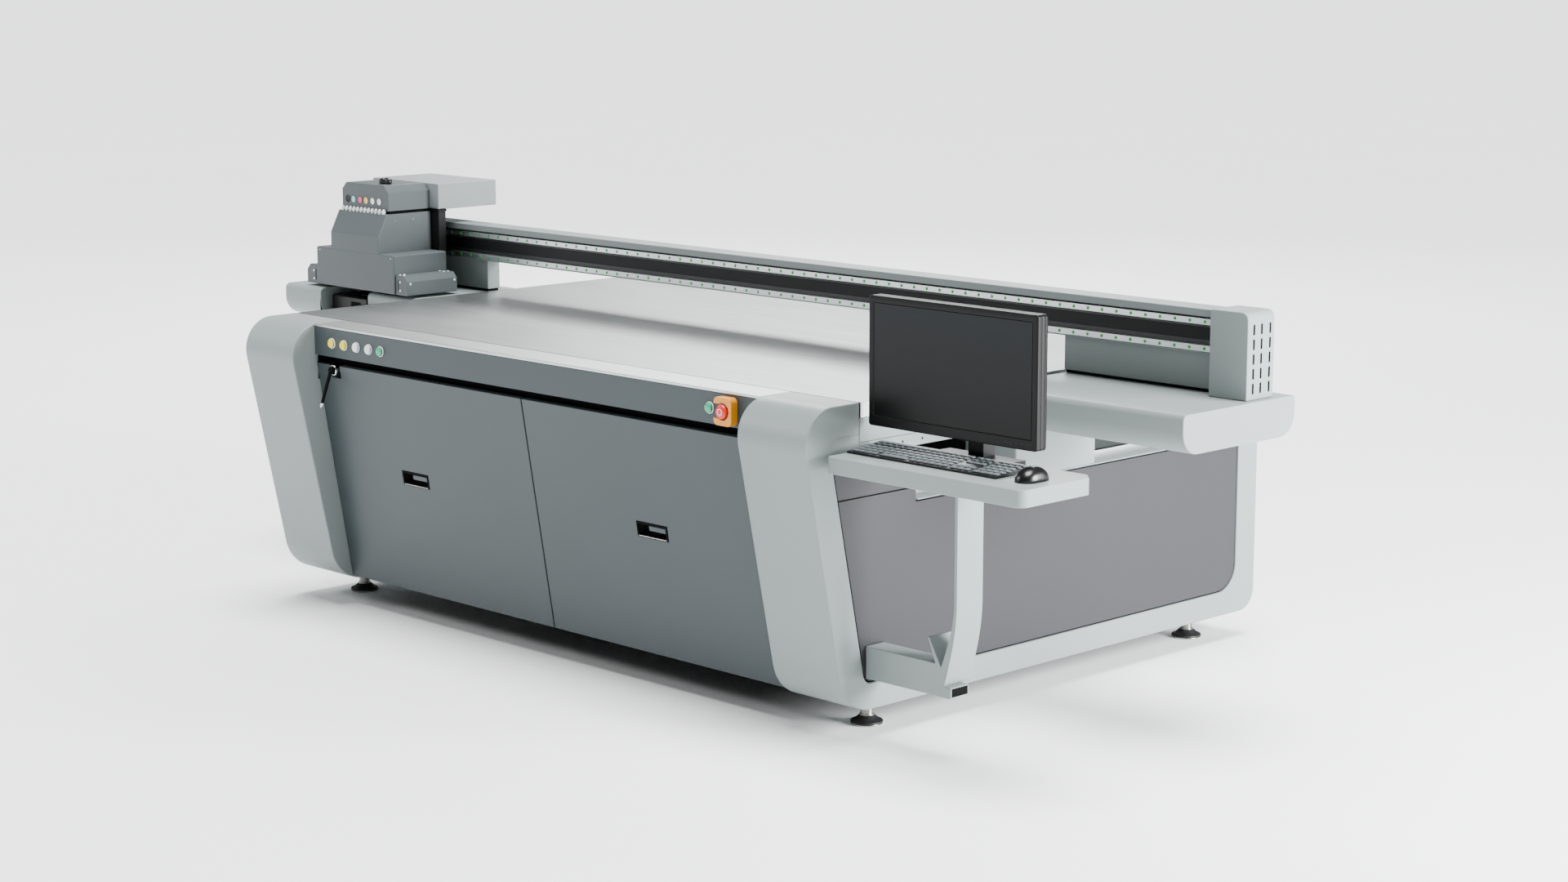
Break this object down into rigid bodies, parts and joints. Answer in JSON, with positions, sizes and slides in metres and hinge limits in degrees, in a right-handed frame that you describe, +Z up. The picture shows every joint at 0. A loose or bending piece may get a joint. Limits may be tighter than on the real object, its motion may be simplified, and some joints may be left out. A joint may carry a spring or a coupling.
{
  "type": "flatbed uv printer",
  "caption": "Wide flatbed UV printer with a fixed vacuum table, a rolling gantry, a lifting print carriage, front controls and an operator's shelf with a screen.",
  "frame": {"origin": "on the floor, under the middle of the machine's overall box", "axes": "+X to the machine's right as seen from the front, +Y from the front to the rear, +Z up"},
  "size_m": [3.944, 1.95, 1.3026],
  "materials": {
    "cover_paint": "light grey powder coat, fine texture, satin",
    "panel_paint": "dark grey powder coat, fine texture, satin",
    "carriage_paint": "mid grey powder coat, fine texture, satin",
    "stand_paint": "black painted welded steel, satin",
    "bed_aluminium": "brushed aluminium with fine lengthwise ridges",
    "beam_aluminium": "painted aluminium extrusion, satin",
    "plate_aluminium": "black anodised aluminium, matt",
    "ground_steel": "ground and polished steel",
    "black_plastic": "black moulded plastic, fine grain",
    "key_plastic": "light grey moulded keys on a black base",
    "foot_rubber": "black rubber pads under steel studs",
    "screen_glass": "dark glossy screen surface",
    "yellow_plastic": "yellow moulded plastic, glossy",
    "white_plastic": "white moulded plastic, glossy",
    "green_plastic": "green moulded plastic, glossy",
    "red_plastic": "red moulded plastic, glossy"
  },
  "bodies": {
    "stand": {"control_cabinet": "cover_paint", "control_strip": "panel_paint", "front_left_foot": "foot_rubber", "front_right_foot": "foot_rubber", "front_sill": "bed_aluminium", "keyboard": "key_plastic", "left_side_frame": "cover_paint", "left_side_panel": "panel_paint", "left_side_rail": "ground_steel", "lever_boss": "ground_steel", "monitor_stand": "black_plastic", "operator_shelf": "cover_paint", "rear_left_foot": "foot_rubber", "rear_panel": "panel_paint", "rear_right_foot": "foot_rubber", "right_side_frame": "cover_paint", "right_side_panel": "panel_paint", "right_side_rail": "ground_steel", "shelf_arm": "cover_paint", "shelf_post": "cover_paint", "stop_guard": "yellow_plastic", "suction_blower": "ground_steel", "table_skirt": "cover_paint", "vacuum_bed": "bed_aluminium", "welded_stand": "stand_paint"},
    "gantry": {"gantry_beam": "beam_aluminium", "lower_guide_rail": "ground_steel", "upper_guide_rail": "ground_steel", "left_gantry_housing": "cover_paint", "right_gantry_housing": "cover_paint", "left_end_cap": "cover_paint", "right_end_cap": "cover_paint", "left_beam_support": "cover_paint", "right_beam_support": "cover_paint", "left_gantry_leg": "cover_paint", "right_gantry_leg": "cover_paint"},
    "capping": {"capping_station": "black_plastic"},
    "carriage": {"carriage_plate": "plate_aluminium"},
    "print_head": {"head_cover": "carriage_paint", "print_heads": "plate_aluminium", "left_curing_lamp": "carriage_paint", "right_curing_lamp": "carriage_paint", "ink_box": "carriage_paint", "rear_box": "carriage_paint"},
    "knob": {"clamp_knob": "black_plastic"},
    "left_panel": {"left_front_panel": "panel_paint", "left_flush_handle": "black_plastic"},
    "right_panel": {"right_front_panel": "panel_paint", "right_flush_handle": "black_plastic"},
    "yellow_button_one": {"yellow_button_1": "yellow_plastic"},
    "yellow_button_two": {"yellow_button_2": "yellow_plastic"},
    "white_button_three": {"white_button_3": "white_plastic"},
    "white_button_four": {"white_button_4": "white_plastic"},
    "green_button_five": {"green_button_5": "green_plastic"},
    "start": {"start_button": "green_plastic"},
    "stop": {"stop_button": "red_plastic"},
    "lever": {"valve_lever": "black_plastic"},
    "monitor": {"monitor_housing": "black_plastic", "monitor_screen": "screen_glass"},
    "pointer": {"mouse": "black_plastic"}
  },
  "joints": [
    {"name": "gantry_travel", "type": "slide", "parent": "stand", "child": "gantry", "axis": [0, 1, 0], "range_m": [-0.3, 0.79]},
    {"name": "carriage_travel", "type": "slide", "parent": "gantry", "child": "carriage", "axis": [1, 0, 0], "range_m": [0, 3.15]},
    {"name": "head_lift", "type": "slide", "parent": "carriage", "child": "print_head", "axis": [0, 0, 1], "range_m": [0, 0.1]},
    {"name": "capping_lift", "type": "slide", "parent": "gantry", "child": "capping", "axis": [0, 0, 1], "range_m": [0, 0.024]},
    {"name": "knob_turn", "type": "hinge", "parent": "print_head", "child": "knob", "pos_m": [-1.543, -0.196, 1.2826], "axis": [0, 0, 1], "continuous": true},
    {"name": "left_panel_tilt", "type": "hinge", "parent": "stand", "child": "left_panel", "pos_m": [-0.50225, -0.885, 0.798], "axis": [-1, 0, 0], "range_deg": [0, 12]},
    {"name": "right_panel_tilt", "type": "hinge", "parent": "stand", "child": "right_panel", "pos_m": [0.50225, -0.885, 0.798], "axis": [-1, 0, 0], "range_deg": [0, 12]},
    {"name": "yellow_button_one_press", "type": "slide", "parent": "stand", "child": "yellow_button_one", "axis": [0, 1, 0], "range_m": [0, 0.004], "stiffness_N_per_m": 400},
    {"name": "yellow_button_two_press", "type": "slide", "parent": "stand", "child": "yellow_button_two", "axis": [0, 1, 0], "range_m": [0, 0.004], "stiffness_N_per_m": 400},
    {"name": "white_button_three_press", "type": "slide", "parent": "stand", "child": "white_button_three", "axis": [0, 1, 0], "range_m": [0, 0.004], "stiffness_N_per_m": 400},
    {"name": "white_button_four_press", "type": "slide", "parent": "stand", "child": "white_button_four", "axis": [0, 1, 0], "range_m": [0, 0.004], "stiffness_N_per_m": 400},
    {"name": "green_button_five_press", "type": "slide", "parent": "stand", "child": "green_button_five", "axis": [0, 1, 0], "range_m": [0, 0.004], "stiffness_N_per_m": 400},
    {"name": "start_press", "type": "slide", "parent": "stand", "child": "start", "axis": [0, 1, 0], "range_m": [0, 0.004], "stiffness_N_per_m": 400},
    {"name": "stop_press", "type": "slide", "parent": "stand", "child": "stop", "axis": [0, 1, 0], "range_m": [0, 0.006]},
    {"name": "lever_turn", "type": "hinge", "parent": "stand", "child": "lever", "pos_m": [-0.91, -0.8928, 0.783], "axis": [0, -1, 0], "range_deg": [0, 90]},
    {"name": "monitor_tilt", "type": "hinge", "parent": "stand", "child": "monitor", "pos_m": [1.5845, -0.715, 1], "axis": [-1, 0, 0], "range_deg": [-5, 20]},
    {"name": "mouse_slide", "type": "slide", "parent": "stand", "child": "pointer", "axis": [1, 0, 0], "range_m": [-0.02, 0.03]}
  ]
}
